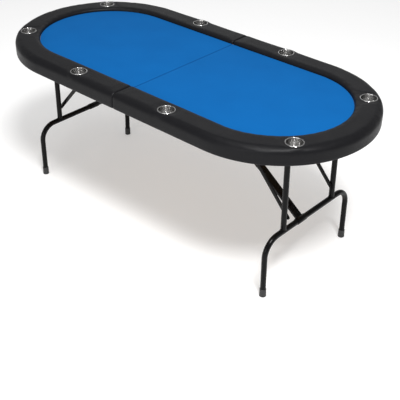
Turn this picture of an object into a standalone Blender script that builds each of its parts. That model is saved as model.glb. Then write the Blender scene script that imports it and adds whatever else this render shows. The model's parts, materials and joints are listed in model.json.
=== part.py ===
"""Folding poker table: two racetrack halves on link hinges, each with a padded
rail, felt, four cups and a folding tube leg frame with jointed stays.
Metres, +Z up, floor at z = 0, seam plane at x = 0, long axis along X."""
import bpy
import bmesh
from math import sin, cos, tan, pi, radians, atan, atan2
from mathutils import Vector, Matrix

# ---------------------------------------------------------------- dimensions
# outline
HALF_LENGTH = 0.953          # centre to the tip of one rounded end
HALF_WIDTH = 0.446           # centre line to the long side
ARC_X = HALF_LENGTH - HALF_WIDTH     # centre of the rounded end
SEAM = 0.0002                # each half stops this far from the seam plane
ARC_STEPS = 28               # segments in one rounded end

# levels
RAIL_TOP = 0.7612
SKIRT_BOTTOM = 0.690
FELT_TOP = 0.7446
FELT_BOTTOM = 0.7416
BOARD_TOP = 0.7413
BOARD_BOTTOM = 0.7293

# rail section, measured inwards from the outer edge
RAIL_WIDTH = 0.117
SKIRT = 0.008                # thickness of the wrapped side
SHOULDER_OUT = 0.022
SHOULDER_IN = 0.012
GAP = 0.0003                 # between pieces that touch
FIXING = BOARD_BOTTOM - GAP  # level that hardware is screwed up against

# apron strip under the board
APRON_IN = 0.0083
APRON_OUT = 0.0137

# cups
CUP_SIDE = (0.267, 0.3945)
CUP_END_ANGLE = radians(41)  # from the long axis, about the arc centre
CUP_END_RADIUS = 0.389
CUP_RIM = 0.0375
CUP_BORE = 0.0335
CUP_WALL = 0.0008
CUP_DEPTH = 0.058
CUP_HOLE = 0.0350

# leg frames
TUBE = 0.0125                # radius
TUBE_WALL = 0.0012
PIVOT_Z = 0.700
FOOT_X = 0.730
PIVOT_X = 0.7195
LEAN = atan((FOOT_X - PIVOT_X) / PIVOT_Z)
UPPER_Y = 0.175
LOWER_Y = 0.2955
CROSSBAR_Z = 0.273
UPPER_BEND = 0.045
LOWER_BEND = 0.078
CAP_RADIUS = 0.0150
CAP_HEIGHT = 0.040

# main stay: channel arm on the crossbar, strap arm on the table
MAIN_Y = -0.0535
MAIN_SLOPE = radians(36.8)
MAIN_TOP_Z = 0.7235
MAIN_FOLDED = radians(-0.8)  # strap direction when folded
MAIN_WIDTH = 0.0372
MAIN_THICK = 0.0116
MAIN_SHEET = 0.0020
SADDLE_WIDTH = 0.057
SADDLE_IN = TUBE + 0.0004
SADDLE_OUT = TUBE + 0.0023
STRAP = 0.0025
STRAP_HALF = 0.0045

# side stays: flat arms inside the upper tubes
SIDE_Z = 0.343
SIDE_SLOPE = radians(48.0)
SIDE_TOP_Z = 0.706
SIDE_HALF = 0.0090
SIDE_PAST = 0.010            # how far the lower arm runs on past its pivot
SIDE_LOW_Y = (0.1553, 0.1605)    # lower arm, in y
SIDE_UP_Y = (0.1498, 0.1548)     # upper arm, in y

# leg brackets
BRACKET_Y = 0.085
BRACKET_IN = TUBE + 0.0004
BRACKET_OUT = TUBE + 0.0024

# link hinges
HINGE_X = 0.012              # each pin stands this far from the seam plane
HINGE_Z = SKIRT_BOTTOM + 0.0005
HINGE_Y = 0.190
HINGE_HALF = 0.035
LINK_HALF = 0.0145
PIN = 0.0025
BARREL = 0.0045
LINK_RADIUS = 0.0040

# slide bolt
BOLT = 0.004
BOLT_Z = 0.7195
BOLT_TIP = -0.004
BOLT_LENGTH = 0.090
KNOB_X = -0.062

# colour, roughness, metallic
LOOKS = {
    "felt": ((0.005, 0.16, 0.51), 0.95, 0.0),
    "vinyl": ((0.030, 0.030, 0.033), 0.50, 0.0),
    "wood": ((0.45, 0.33, 0.20), 0.70, 0.0),
    "steel": ((0.72, 0.71, 0.69), 0.18, 1.0),
    "black": ((0.012, 0.012, 0.013), 0.28, 0.0),
    "plastic": ((0.018, 0.018, 0.020), 0.45, 0.0),
    "zinc": ((0.55, 0.55, 0.53), 0.35, 1.0),
}

# ---------------------------------------------------------------- scene setup
for old in list(bpy.data.objects):
    bpy.data.objects.remove(old, do_unlink=True)
for old in list(bpy.data.collections):
    bpy.data.collections.remove(old)

TABLE = bpy.data.collections.new("folding_poker_table")
CUTTERS = bpy.data.collections.new("cutters")
bpy.context.scene.collection.children.link(TABLE)
bpy.context.scene.collection.children.link(CUTTERS)

# planes that an outline is drawn in: local X and Y lie in it, local Z is depth
FLAT = Matrix.Identity(4)
SIDE_ON = Matrix(((1, 0, 0, 0), (0, 0, -1, 0), (0, 1, 0, 0), (0, 0, 0, 1)))
END_ON = Matrix(((0, 0, 1, 0), (1, 0, 0, 0), (0, 1, 0, 0), (0, 0, 0, 1)))


# ---------------------------------------------------------------- shape tools
class Half:
    """Places pieces of one half: the left half is the right one turned half a
    turn about the vertical axis through the middle of the seam."""

    def __init__(self, side):
        self.side = side
        self.sign = 1 if side == "right" else -1
        self.turn = Matrix.Rotation(0 if side == "right" else pi, 4, "Z")

    def row(self, y):        # near is the -Y side, far the +Y side
        return "near" if y * self.sign < 0 else "far"

    def piece(self, source, name, look, origin=(0, 0, 0)):
        return settle(source, f"{self.side}_{name}", look, origin, self.turn)

    def tool(self, source, name):
        return settle(source, f"{self.side}_{name}", None, (0, 0, 0), self.turn)


def settle(source, name, look, origin=(0, 0, 0), turn=Matrix.Identity(4)):
    """Make a curve or a modified mesh a welded mesh object whose own origin is
    the given point. Without a look it is a cutter or a guide."""
    bpy.context.view_layer.update()
    graph = bpy.context.evaluated_depsgraph_get()
    mesh = bpy.data.meshes.new_from_object(source.evaluated_get(graph))
    mesh.name = name
    place = turn @ Vector(origin)
    mesh.transform(Matrix.Translation(-place) @ turn @ source.matrix_world)
    bpy.data.objects.remove(source, do_unlink=True)
    bm = bmesh.new()
    bm.from_mesh(mesh)
    bmesh.ops.remove_doubles(bm, verts=bm.verts, dist=0.00001)
    bmesh.ops.dissolve_limit(bm, angle_limit=radians(0.05), verts=bm.verts, edges=bm.edges)
    bmesh.ops.recalc_face_normals(bm, faces=bm.faces)
    bm.to_mesh(mesh)
    bm.free()
    mesh.shade_smooth()
    mesh.set_sharp_from_angle(angle=radians(35))
    piece = bpy.data.objects.new(name, mesh)
    piece.location = place
    mesh.materials.clear()
    if look:
        TABLE.objects.link(piece)
        colour, rough, metal = LOOKS[look]
        material = bpy.data.materials.new(name)
        material.use_nodes = True
        shader = material.node_tree.nodes["Principled BSDF"]
        shader.inputs["Base Color"].default_value = (*colour, 1)
        shader.inputs["Roughness"].default_value = rough
        shader.inputs["Metallic"].default_value = metal
        mesh.materials.append(material)
    else:
        CUTTERS.objects.link(piece)
        piece.hide_render = True
        piece.display_type = "WIRE"
    return piece


def boolean(piece, operation, *others):
    for other in others:
        modifier = piece.modifiers.new(operation.lower(), "BOOLEAN")
        modifier.operation = operation
        modifier.solver = "EXACT"
        modifier.object = other


def drawn(points, lo, hi, plane=FLAT):
    """A flat outline as a filled 2-D curve, extruded from depth lo to hi. In
    SIDE_ON depth runs along -Y, so its limits are given along +Y."""
    curve = bpy.data.curves.new("outline", "CURVE")
    curve.dimensions = "2D"
    curve.fill_mode = "BOTH"
    curve.extrude = (hi - lo) / 2
    spline = curve.splines.new("POLY")
    spline.points.add(len(points) - 1)
    for point, (a, b) in zip(spline.points, points):
        point.co = (a, b, 0, 1)
    spline.use_cyclic_u = True
    outline = bpy.data.objects.new("outline", curve)
    bpy.context.scene.collection.objects.link(outline)
    middle = (lo + hi) / 2 * (-1 if plane is SIDE_ON else 1)
    outline.matrix_world = plane @ Matrix.Translation((0, 0, middle))
    return outline


def turned(profile, steps, closed=True, place=Matrix.Identity(4)):
    """An (r, z) profile turned about local Z with a Screw modifier."""
    mesh = bpy.data.meshes.new("profile")
    bm = bmesh.new()
    chain = [bm.verts.new((r, 0, z)) for r, z in profile]
    for a, b in zip(chain, chain[1:] + (chain[:1] if closed else [])):
        bm.edges.new((a, b))
    bm.to_mesh(mesh)
    bm.free()
    body = bpy.data.objects.new("profile", mesh)
    bpy.context.scene.collection.objects.link(body)
    screw = body.modifiers.new("turn", "SCREW")
    screw.steps = screw.render_steps = steps
    screw.use_merge_vertices = True
    screw.merge_threshold = 0.00001
    body.matrix_world = place
    return body


def bent_tube(points, radius, wall):
    """An open-ended tube: a round-bevelled curve made a mesh and given a wall."""
    curve = bpy.data.curves.new("tube", "CURVE")
    curve.dimensions = "3D"
    curve.bevel_depth = radius
    curve.bevel_resolution = 4
    spline = curve.splines.new("POLY")
    spline.points.add(len(points) - 1)
    for point, co in zip(spline.points, points):
        point.co = (*co, 1)
    skin = bpy.data.objects.new("tube", curve)
    bpy.context.scene.collection.objects.link(skin)
    mesh_skin = settle(skin, "tube_skin", None)
    shell = mesh_skin.modifiers.new("wall", "SOLIDIFY")
    shell.thickness = wall
    shell.offset = -1
    return mesh_skin


def swept(path, section):
    """A closed (inwards, up) section carried along a level path."""
    curves = []
    for points, cyclic in ((section, True), (path, False)):
        curve = bpy.data.curves.new("sweep", "CURVE")
        curve.dimensions = "2D" if cyclic else "3D"
        curve.fill_mode = "NONE" if cyclic else "FULL"
        spline = curve.splines.new("POLY")
        spline.points.add(len(points) - 1)
        for point, (a, b) in zip(spline.points, points):
            point.co = (a, b, 0, 1)
        spline.use_cyclic_u = cyclic
        line = bpy.data.objects.new("sweep", curve)
        bpy.context.scene.collection.objects.link(line)
        curves.append(line)
    profile, rail = curves
    rail.data.twist_mode = "Z_UP"
    rail.data.bevel_mode = "OBJECT"
    rail.data.bevel_object = profile
    rail.data.use_fill_caps = True
    return rail, profile


def circle(cx, cy, r, n, start=0.0):
    return [(cx + r * cos(start + 2 * pi * i / n), cy + r * sin(start + 2 * pi * i / n))
            for i in range(n)]


def arc(cx, cy, r, first, last, n):
    return [(cx + r * cos(first + (last - first) * i / n),
             cy + r * sin(first + (last - first) * i / n)) for i in range(n + 1)]


def stadium(ax, az, bx, bz, r, n=6):
    """Outline round two points, with half-round ends of n segments."""
    turn = atan2(bz - az, bx - ax)
    return (arc(bx, bz, r, turn - pi / 2, turn + pi / 2, n)
            + arc(ax, az, r, turn + pi / 2, turn + 3 * pi / 2, n))


def half_outline(inset):
    """One half of the racetrack, anticlockwise from the near seam corner."""
    r = HALF_WIDTH - inset
    return [(SEAM, -r)] + arc(ARC_X, 0, r, -pi / 2, pi / 2, ARC_STEPS) + [(SEAM, r)]


def across(x, z, y=0.0):
    """Stands a turned piece's axis along Y, at the given place."""
    return Matrix.Translation((x, y, z)) @ Matrix.Rotation(pi / 2, 4, "X")


def sleeve(r_in, r_out, half):
    return [(r_out, half), (r_out, -half), (r_in, -half), (r_in, half)]


# ---------------------------------------------------------------- leg geometry
DOWN = Vector((sin(LEAN), 0, -cos(LEAN)))
PIVOT = Vector((PIVOT_X, 0, PIVOT_Z))
CROSSBAR_D = (PIVOT_Z - CROSSBAR_Z) / cos(LEAN)
SIDE_D = (PIVOT_Z - SIDE_Z) / cos(LEAN)
FOOT_D = PIVOT_Z / cos(LEAN)


def on_leg(y, d):
    """A point of the leg frame plane: y across, d down from the pivot bar."""
    return PIVOT + DOWN * d + Vector((0, y, 0))


CROSSBAR = on_leg(0, CROSSBAR_D)
SIDE_LOW = on_leg(0, SIDE_D)


def bow(y, ends, bar, bend, steps=5):
    """A U of tube in the leg plane: ends and crossing bar given as depths."""
    way = 1 if ends > bar else -1
    right_side = [(y - bend + bend * sin(t), bar + way * (bend - bend * cos(t)))
                  for t in [pi / 2 * i / steps for i in range(steps + 1)]]
    half = right_side + [(y, ends)]
    return [on_leg(a, d) for a, d in [(-a, d) for a, d in reversed(half)] + half]


def stay(low, d, slope, top_z, rest):
    """Two arms of a folding stay, in line when open. Folded, the table-side arm
    points along the rest angle. Returns the top pivot and the knuckle."""
    top = Vector((low.x - (top_z - low.z) / tan(slope), 0, top_z))
    total = (top - low).length
    ray = Vector((cos(rest), 0, sin(rest)))
    away = top - Vector((PIVOT_X - d, 0, PIVOT_Z))
    upper = (total ** 2 - away.length_squared) / (2 * (away.dot(ray) + total))
    return top, top + (low - top) * (upper / total)


MAIN_TOP, MAIN_KNUCKLE = stay(CROSSBAR, CROSSBAR_D, MAIN_SLOPE, MAIN_TOP_Z, MAIN_FOLDED)
SIDE_TOP, SIDE_KNUCKLE = stay(SIDE_LOW, SIDE_D, SIDE_SLOPE, SIDE_TOP_Z, 0.0)


# ---------------------------------------------------------------- table top
def build_top(half):
    board = half.piece(drawn(half_outline(APRON_IN), BOARD_BOTTOM, BOARD_TOP), "board", "wood")
    half.piece(drawn(half_outline(RAIL_WIDTH + GAP), FELT_BOTTOM, FELT_TOP), "felt", "felt")
    strip = half_outline(APRON_IN) + half_outline(APRON_OUT)[::-1]
    half.piece(drawn(strip, SKIRT_BOTTOM + 0.0005, FIXING), "apron", "wood")

    # padded rail: foam and cover over the board edge, with the side wrapped down
    section = [(SKIRT, SKIRT_BOTTOM), (0, SKIRT_BOTTOM)]
    section += arc(SHOULDER_OUT, RAIL_TOP - SHOULDER_OUT, SHOULDER_OUT, pi, pi / 2, 4)
    section += arc(RAIL_WIDTH - SHOULDER_IN, RAIL_TOP - SHOULDER_IN, SHOULDER_IN, pi / 2, 0, 4)
    section += [(RAIL_WIDTH, FELT_BOTTOM), (SKIRT, FELT_BOTTOM)]
    line, profile = swept(half_outline(0), [(-u, z) for u, z in section])
    rail = half.piece(line, "rail_pad", "vinyl")
    bpy.data.objects.remove(profile, do_unlink=True)

    # cups with a rolled flange, and the holes for them
    end_cup = (ARC_X + CUP_END_RADIUS * cos(CUP_END_ANGLE), CUP_END_RADIUS * sin(CUP_END_ANGLE))
    rim, floor = RAIL_TOP + GAP, RAIL_TOP - CUP_DEPTH
    profile = [(0, floor), (CUP_BORE, floor), (CUP_BORE, rim + 0.0002),
               (CUP_BORE + 0.0012, rim + 0.0012), (CUP_RIM - 0.0003, rim + 0.0009),
               (CUP_RIM, rim), (CUP_BORE + CUP_WALL, rim),
               (CUP_BORE + CUP_WALL, floor - 0.001), (0, floor - 0.001)]
    for where, (x, y) in (("side", CUP_SIDE), ("end", end_cup)):
        for k in (-1, 1):
            spot = Matrix.Translation((x, k * y, 0))
            half.piece(turned(profile, 24, False, spot), f"{half.row(k)}_{where}_cup", "steel")
            hole = half.tool(drawn(circle(x, k * y, CUP_HOLE, 24), SKIRT_BOTTOM, RAIL_TOP + 0.01),
                             f"{half.row(k)}_{where}_cup_hole")
            boolean(board, "DIFFERENCE", hole)
            boolean(rail, "DIFFERENCE", hole)


# ---------------------------------------------------------------- leg frame
def build_leg(half):
    upper = half.piece(bent_tube(bow(UPPER_Y, CROSSBAR_D, 0, UPPER_BEND), TUBE, TUBE_WALL),
                       "upper_leg_bow", "black", PIVOT)
    cope = drawn(circle(CROSSBAR.x, CROSSBAR.z, TUBE + 2 * GAP, 24), -0.25, 0.25, SIDE_ON)
    boolean(upper, "DIFFERENCE", half.tool(cope, "leg_cope"))
    half.piece(bent_tube(bow(LOWER_Y, FOOT_D - 0.0045, CROSSBAR_D, LOWER_BEND), TUBE, TUBE_WALL),
               "lower_leg_bow", "black", PIVOT)

    # foot caps follow the leaning tube but stand on a level underside
    outside = [(0, 0), (CAP_RADIUS + 0.0006, 0), (CAP_RADIUS, 0.008),
               (CAP_RADIUS - 0.0006, CAP_HEIGHT), (TUBE + GAP, CAP_HEIGHT),
               (TUBE + GAP, 0.004), (0, 0.004)]
    for k in (-1, 1):
        tilt = Matrix.Translation(on_leg(k * LOWER_Y, FOOT_D)) @ Matrix.Rotation(-LEAN, 4, "Y")
        cap = half.piece(turned(outside, 16, False, tilt), f"{half.row(k)}_foot_cap",
                         "plastic", PIVOT)
        for v in cap.data.vertices:
            if v.co.z < -PIVOT_Z + 0.001:
                v.co.z = -PIVOT_Z

    # sheet straps round the pivot bar, flanged to the board
    x, z, under = PIVOT_X, PIVOT_Z, FIXING - 0.002
    strap = [(x - 0.032, FIXING), (x - 0.032, under), (x - BRACKET_OUT, under)]
    strap += arc(x, z, BRACKET_OUT, pi, 2 * pi, 10)
    strap += [(x + BRACKET_OUT, under), (x + 0.032, under), (x + 0.032, FIXING),
              (x + BRACKET_IN, FIXING)]
    strap += arc(x, z, BRACKET_IN, 0, -pi, 10) + [(x - BRACKET_IN, FIXING)]
    for k in (-1, 1):
        y = k * BRACKET_Y
        half.piece(drawn(strap, y - 0.012, y + 0.012, SIDE_ON), f"{half.row(k)}_leg_bracket",
                   "zinc")


# ---------------------------------------------------------------- stays
def build_main_stay(half):
    along = (MAIN_KNUCKLE - CROSSBAR).normalized()
    lift = Vector((0, 1, 0)).cross(along)
    lift = lift if lift.z > 0 else -lift
    thick, wide = MAIN_THICK / 2, MAIN_WIDTH / 2

    # lower arm: a channel, open below, with a saddle round the crossbar
    channel = [(-wide, -thick), (-wide, thick - 0.0012), (-wide + 0.0012, thick),
               (wide - 0.0012, thick), (wide, thick - 0.0012), (wide, -thick),
               (wide - MAIN_SHEET, -thick + GAP), (wide - MAIN_SHEET, thick - MAIN_SHEET),
               (-wide + MAIN_SHEET, thick - MAIN_SHEET), (-wide + MAIN_SHEET, -thick + GAP)]
    frame = Matrix.Translation(CROSSBAR + Vector((0, MAIN_Y, 0))) @ Matrix((
        (0, lift.x, along.x, 0), (1, 0, 0, 0), (0, lift.z, along.z, 0), (0, 0, 0, 1)))
    length = (MAIN_KNUCKLE - CROSSBAR).length + thick
    ring = turned(sleeve(SADDLE_IN, SADDLE_OUT, SADDLE_WIDTH / 2), 24, True,
                  across(CROSSBAR.x, CROSSBAR.z, MAIN_Y))
    lower = half.piece(ring, "main_stay_lower", "black", CROSSBAR)
    arm = half.tool(drawn(channel, SADDLE_IN + 0.0001, length, frame), "main_stay_channel")
    boolean(lower, "UNION", arm)

    # upper arm: two straps outside the channel, joined by a web near the table
    x, z = MAIN_TOP.x, MAIN_TOP.z
    side = wide + 0.0005
    outline = stadium(x, z, MAIN_KNUCKLE.x, MAIN_KNUCKLE.z, STRAP_HALF)
    upper = half.piece(drawn(outline, MAIN_Y - side - STRAP, MAIN_Y - side, SIDE_ON),
                       "main_stay_upper", "black", MAIN_TOP)
    twin = half.tool(drawn(outline, MAIN_Y + side, MAIN_Y + side + STRAP, SIDE_ON),
                     "main_stay_twin")
    web = [(p.x, p.z) for a, h in ((0.045, -0.001), (0.095, -0.001), (0.095, 0.001), (0.045, 0.001))
           for p in [MAIN_TOP - along * a + lift * h]]
    reach = side + STRAP / 2
    web = half.tool(drawn(web, MAIN_Y - reach, MAIN_Y + reach, SIDE_ON), "main_stay_web")
    hole = half.tool(drawn(circle(x, z, 0.0028, 8), MAIN_Y - 0.03, MAIN_Y + 0.03, SIDE_ON),
                     "main_stay_hole")
    boolean(upper, "UNION", web, twin)
    boolean(upper, "DIFFERENCE", hole)

    # bracket under the board: plate, lug between the straps, pin
    under = FIXING - 0.002
    lug = arc(x, z, 0.006, pi, 2 * pi, 4) + [
        (x + 0.006, under - GAP), (x + 0.022, under), (x + 0.022, FIXING),
        (x - 0.022, FIXING), (x - 0.022, under), (x - 0.006, under - GAP)]
    bracket = half.piece(drawn(lug, MAIN_Y - wide + 0.001, MAIN_Y + wide - 0.001, SIDE_ON),
                         "main_stay_bracket", "zinc")
    pin = drawn(circle(x, z, 0.0024, 10, 0.1), MAIN_Y - wide - 0.0045, MAIN_Y + wide + 0.0045, SIDE_ON)
    boolean(bracket, "UNION", half.tool(pin, "main_stay_pin"))


def build_side_stays(half):
    x, z = SIDE_TOP.x, SIDE_TOP.z
    past = SIDE_LOW + (SIDE_LOW - SIDE_KNUCKLE).normalized() * SIDE_PAST
    low = stadium(past.x, past.z, SIDE_KNUCKLE.x, SIDE_KNUCKLE.z, SIDE_HALF, 4)
    high = stadium(x, z, SIDE_KNUCKLE.x, SIDE_KNUCKLE.z, SIDE_HALF, 4)
    reach = SIDE_UP_Y[0] - GAP
    lip = z - 0.007
    strip = [(-reach, lip), (-reach + 0.003, lip + GAP), (-reach + 0.003, FIXING - 0.0022),
             (reach - 0.003, FIXING - 0.0022), (reach - 0.003, lip + GAP), (reach, lip),
             (reach, FIXING), (-reach, FIXING)]
    hanger = half.piece(drawn(strip, x - 0.010, x + 0.010, END_ON), "side_stay_strip", "zinc")
    for k in (-1, 1):
        row = half.row(k)
        y0, y1 = sorted(k * y for y in SIDE_LOW_Y)
        half.piece(drawn(low, y0, y1, SIDE_ON), f"{row}_side_stay_lower", "black", SIDE_LOW)
        y0, y1 = sorted(k * y for y in SIDE_UP_Y)
        arm = half.piece(drawn(high, y0, y1, SIDE_ON), f"{row}_side_stay_upper", "black", SIDE_TOP)
        hole = drawn(circle(x, z, 0.0029, 8), y0 - 0.01, y1 + 0.01, SIDE_ON)
        boolean(arm, "DIFFERENCE", half.tool(hole, f"{row}_side_stay_hole"))
        y0, y1 = sorted((k * (reach - 0.0015), k * (SIDE_UP_Y[1] + 0.0002)))
        pin = drawn(circle(x, z, 0.0025, 8), y0, y1, SIDE_ON)
        boolean(hanger, "UNION", half.tool(pin, f"{row}_side_stay_pin"))


# ---------------------------------------------------------------- hinges
def build_leaves(half):
    """Leaves: a web from the pin up to the board, a flange, and two barrels."""
    x = HINGE_X + LINK_RADIUS + 0.0004
    bend = [(x, HINGE_Z - 0.002), (x + 0.0022, HINGE_Z - 0.002), (x + 0.0022, FIXING - 0.002),
            (x + 0.040, FIXING - 0.002), (x + 0.040, FIXING), (x, FIXING)]
    long = (HINGE_HALF - LINK_HALF - 0.0005) / 2
    for k in (-1, 1):
        y = k * HINGE_Y
        leaf = half.piece(drawn(bend, y - HINGE_HALF, y + HINGE_HALF, SIDE_ON),
                          f"{half.row(k)}_hinge_leaf", "zinc")
        for end in (-1, 1):
            middle = y + end * (HINGE_HALF - long)
            barrel = turned(sleeve(PIN + 0.0004, BARREL, long), 10, True,
                            across(HINGE_X, HINGE_Z, middle))
            boolean(leaf, "UNION", half.tool(barrel, f"{half.row(k)}_barrel_{end + 2}"))


def build_links():
    for name, y in (("near", -HINGE_Y), ("far", HINGE_Y)):
        plate = drawn(stadium(-HINGE_X, HINGE_Z, HINGE_X, HINGE_Z, LINK_RADIUS),
                      y - LINK_HALF, y + LINK_HALF, SIDE_ON)
        link = settle(plate, f"{name}_hinge_link", "zinc", (-HINGE_X, 0, HINGE_Z))
        for k in (-1, 1):
            pin = drawn(circle(k * HINGE_X, HINGE_Z, PIN, 8), y - HINGE_HALF, y + HINGE_HALF,
                        SIDE_ON)
            boolean(link, "UNION", settle(pin, f"{name}_hinge_pin_{k + 2}", None))


# ---------------------------------------------------------------- slide bolt
def build_bolt():
    """A rod across the seam: two guide loops on the left half, a keeper on the
    right one. It is drawn back, so the halves are free to fold."""
    back = BOLT_TIP - BOLT_LENGTH
    rod = settle(drawn(circle(0, BOLT_Z, BOLT, 10), back, BOLT_TIP, END_ON), "slide_bolt",
                 "steel", (KNOB_X, 0, BOLT_Z))
    knob = turned([(0, BOLT_Z - 0.001), (0.0022, BOLT_Z - 0.001), (0.0022, BOLT_Z - 0.009),
                   (0.0050, BOLT_Z - 0.010), (0.0050, BOLT_Z - 0.018), (0, BOLT_Z - 0.018)],
                  10, False, Matrix.Translation((KNOB_X, 0, 0)))
    boolean(rod, "UNION", settle(knob, "bolt_knob", None))

    r_in, r_out, top = BOLT + 0.0005, BOLT + 0.0022, FIXING - 0.001
    loop = [(-r_out, top)] + arc(0, BOLT_Z, r_out, pi, 2 * pi, 8) + [(r_out, top), (r_in, top)]
    loop += arc(0, BOLT_Z, r_in, 0, -pi, 8) + [(-r_in, top)]
    for name, spans in (("bolt_guide", ((back + 0.004, back + 0.016), (-0.028, -0.014))),
                        ("bolt_keeper", ((0.014, 0.026),))):
        sheet = [(spans[0][0], -0.016), (spans[-1][1], -0.016),
                 (spans[-1][1], 0.016), (spans[0][0], 0.016)]
        plate = settle(drawn(sheet, FIXING - 0.0018, FIXING), name, "zinc")
        for i, (a, b) in enumerate(spans):
            boolean(plate, "UNION", settle(drawn(loop, a, b, END_ON), f"{name}_loop_{i}", None))


for each in (Half("right"), Half("left")):
    build_top(each)
    build_leg(each)
    build_main_stay(each)
    build_side_stays(each)
    build_leaves(each)
build_links()
build_bolt()
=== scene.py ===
"""Folding poker table: padded rails, felt, cups, tube frames and stays, with their finishes.
Metres, +Z up, floor at z = 0, seam plane at x = 0, long axis along X."""
import json
from math import atan, cos, hypot, pi, radians, sin, sqrt, tan

import bmesh
import bpy
from mathutils import Matrix, Vector, noise


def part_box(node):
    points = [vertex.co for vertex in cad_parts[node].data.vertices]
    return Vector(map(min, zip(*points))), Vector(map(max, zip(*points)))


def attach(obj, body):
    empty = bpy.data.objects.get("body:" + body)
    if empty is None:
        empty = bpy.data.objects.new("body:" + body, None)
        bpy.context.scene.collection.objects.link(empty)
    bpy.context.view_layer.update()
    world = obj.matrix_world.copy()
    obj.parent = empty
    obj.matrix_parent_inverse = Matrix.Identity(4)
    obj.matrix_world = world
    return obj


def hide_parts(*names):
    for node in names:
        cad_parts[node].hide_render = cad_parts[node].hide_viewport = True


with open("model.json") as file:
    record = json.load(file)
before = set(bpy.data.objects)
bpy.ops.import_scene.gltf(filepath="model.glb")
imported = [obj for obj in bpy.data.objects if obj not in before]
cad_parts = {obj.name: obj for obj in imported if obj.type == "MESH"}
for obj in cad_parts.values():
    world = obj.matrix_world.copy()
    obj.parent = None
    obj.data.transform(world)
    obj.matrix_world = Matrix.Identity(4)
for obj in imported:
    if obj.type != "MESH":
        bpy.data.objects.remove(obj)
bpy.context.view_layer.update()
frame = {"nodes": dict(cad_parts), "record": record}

# ---------------------------------------------------------------- camera, light, floor
YAW, PITCH, ROLL = -0.7342, 0.5841, 0.0103
forward = Vector((sin(YAW) * cos(PITCH), cos(YAW) * cos(PITCH), -sin(PITCH)))
level = Vector((cos(YAW), -sin(YAW), 0))
above = level.cross(forward)
right = cos(ROLL) * level + sin(ROLL) * above
up = cos(ROLL) * above - sin(ROLL) * level
lens = bpy.data.cameras.new("camera")
lens.lens, lens.sensor_width = 72.89, 36.0
lens.shift_x = 0.002
camera = bpy.data.objects.new("camera", lens)
camera.matrix_world = Matrix.Translation((2.3105, -2.4571, 2.2465)) @ Matrix(
    (right, up, -forward)).transposed().to_4x4()
bpy.context.scene.collection.objects.link(camera)
bpy.context.scene.camera = camera
bpy.context.scene.view_settings.view_transform = "Standard"

world = bpy.data.worlds.new("studio")
world.use_nodes = True
world.node_tree.nodes["Background"].inputs["Color"].default_value = (1.0, 1.0, 1.0, 1)
world.node_tree.nodes["Background"].inputs["Strength"].default_value = 0.36
bpy.context.scene.world = world


def softbox(name, place, target, size, power):
    lamp = bpy.data.lights.new(name, "AREA")
    lamp.shape, lamp.size, lamp.size_y, lamp.energy = "RECTANGLE", *size, power
    box = bpy.data.objects.new(name, lamp)
    box.location = place
    box.rotation_euler = (Vector(target) - Vector(place)).to_track_quat("-Z", "Y").to_euler()
    bpy.context.scene.collection.objects.link(box)


softbox("key", (2.7, -1.8, 5.4), (0, 0, 0.4), (1.3, 1.3), 345)
softbox("overhead", (0.4, -0.8, 5.0), (0, 0, 0.7), (3.2, 2.4), 52)
softbox("fill", (0.9, -5.0, 1.7), (0, 0, 0.5), (3.0, 1.8), 62)
softbox("card", (-2.6, 3.6, 2.6), (0, 0, 0.7), (3.2, 1.4), 9)


# ---------------------------------------------------------------- finishes
class Flow:
    """A number or colour that varies over a surface."""

    def __init__(self, finish, socket):
        self.finish, self.socket = finish, socket

    def _with(self, operation, *others):
        return self.finish.node("Math", {"operation": operation}, dict(enumerate(others)))

    def __add__(self, other): return self._with("ADD", self, other)
    def __radd__(self, other): return self._with("ADD", other, self)
    def __sub__(self, other): return self._with("SUBTRACT", self, other)
    def __rsub__(self, other): return self._with("SUBTRACT", other, self)
    def __mul__(self, other): return self._with("MULTIPLY", self, other)
    def __rmul__(self, other): return self._with("MULTIPLY", other, self)
    def sine(self): return self._with("SINE", self)
    def absolute(self): return self._with("ABSOLUTE", self)
    def over(self, other): return self._with("GREATER_THAN", self, other)


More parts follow.
